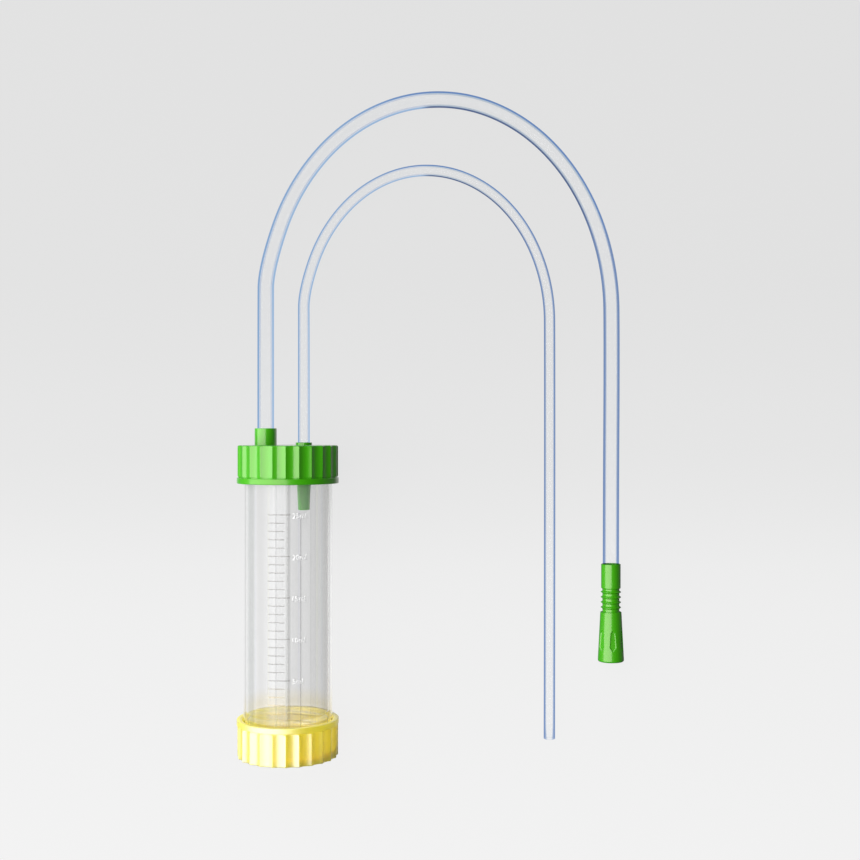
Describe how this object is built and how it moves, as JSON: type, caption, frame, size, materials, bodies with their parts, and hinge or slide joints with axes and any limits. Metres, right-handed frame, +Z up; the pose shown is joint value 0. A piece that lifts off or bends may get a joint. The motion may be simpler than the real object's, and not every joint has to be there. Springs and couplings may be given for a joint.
{
  "type": "mucus extractor",
  "caption": "Clear graduated specimen container with a screw cap at each end, a suction tube, a catheter tube and a funnel connector, laid flat.",
  "frame": {"origin": "on the surface the object lies on, below the middle of the container with its caps and the suction port's collar", "axes": "+Y along the container towards the cap with the tubes, +Z up from the surface, +X from the container towards the connector"},
  "size_m": [0.1137, 0.1957, 0.0294],
  "materials": {
    "container_clear": "gloss",
    "cap_green": "satin",
    "cap_yellow": "satin",
    "liner_white": "matte",
    "tube_clear": "gloss",
    "connector_green": "satin"
  },
  "bodies": {
    "container": {"specimen_container": "container_clear"},
    "lid_liner": {"tubed_cap_liner": "liner_white"},
    "lid": {"tubed_cap": "cap_green", "suction_tube": "tube_clear", "catheter_tube": "tube_clear", "suction_connector": "connector_green"},
    "spare_liner": {"spare_cap_liner": "liner_white"},
    "spare_lid": {"spare_cap": "cap_yellow"}
  },
  "joints": [
    {"name": "lid_travel", "type": "slide", "parent": "container", "child": "lid_liner", "axis": [0, 1, 0], "range_m": [0, 0.006]},
    {"name": "lid_turn", "type": "hinge", "parent": "lid_liner", "child": "lid", "pos_m": [0, 0.04255, 0.0147], "axis": [0, 1, 0], "range_deg": [0, 720]},
    {"name": "spare_travel", "type": "slide", "parent": "container", "child": "spare_liner", "axis": [0, -1, 0], "range_m": [0, 0.006]},
    {"name": "spare_turn", "type": "hinge", "parent": "spare_liner", "child": "spare_lid", "pos_m": [0, -0.04745, 0.0147], "axis": [0, -1, 0], "range_deg": [0, 720]}
  ],
  "couplings": [
    {"joint": "lid_travel", "follows": "lid_turn", "m_per_rad": 0.00047746},
    {"joint": "spare_travel", "follows": "spare_turn", "m_per_rad": 0.00047746}
  ]
}
